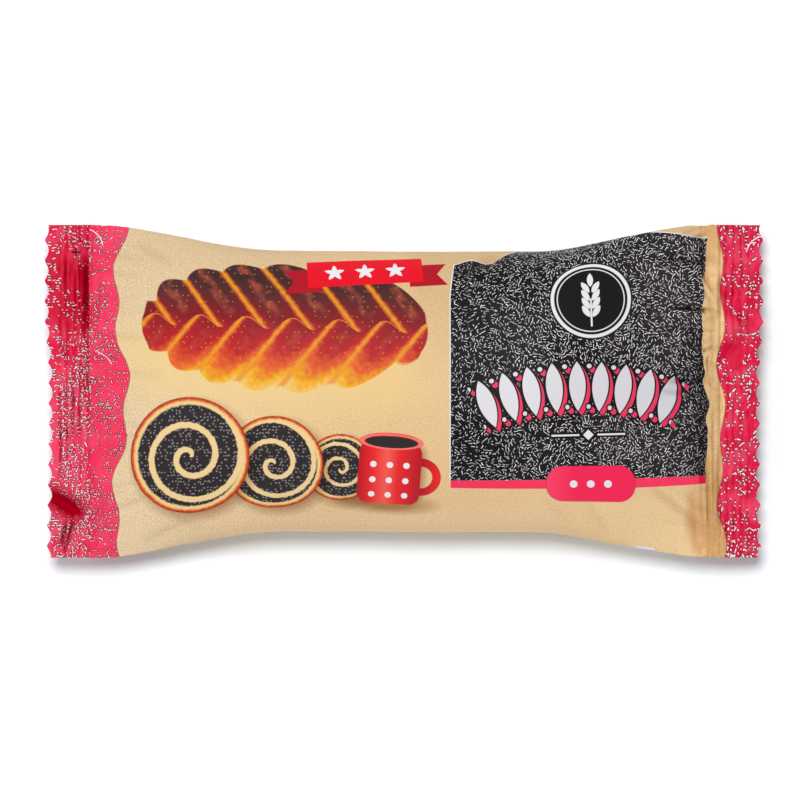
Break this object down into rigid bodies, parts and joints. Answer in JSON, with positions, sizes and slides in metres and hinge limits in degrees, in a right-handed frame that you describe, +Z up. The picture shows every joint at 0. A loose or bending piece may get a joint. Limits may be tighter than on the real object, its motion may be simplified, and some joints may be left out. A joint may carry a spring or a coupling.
{
  "type": "sealed flow pack of a filled bun",
  "caption": "Pillow-shaped flow pack of printed film round a filled bun, with a ribbed, tooth-cut fin at each end and a flat seam along its back.",
  "frame": {"origin": "on the ground under the middle of the pack", "axes": "+X along the pack towards the end with the dark panel, +Y across it towards the top of its print, +Z up out of the printed front"},
  "size_m": [0.176, 0.0814, 0.0285],
  "materials": {
    "printed_film": "satin printed film, cream ground with crimson ends, a near-black panel and a loaf picture"
  },
  "bodies": {
    "root": {"pack": "printed_film"}
  },
  "joints": []
}
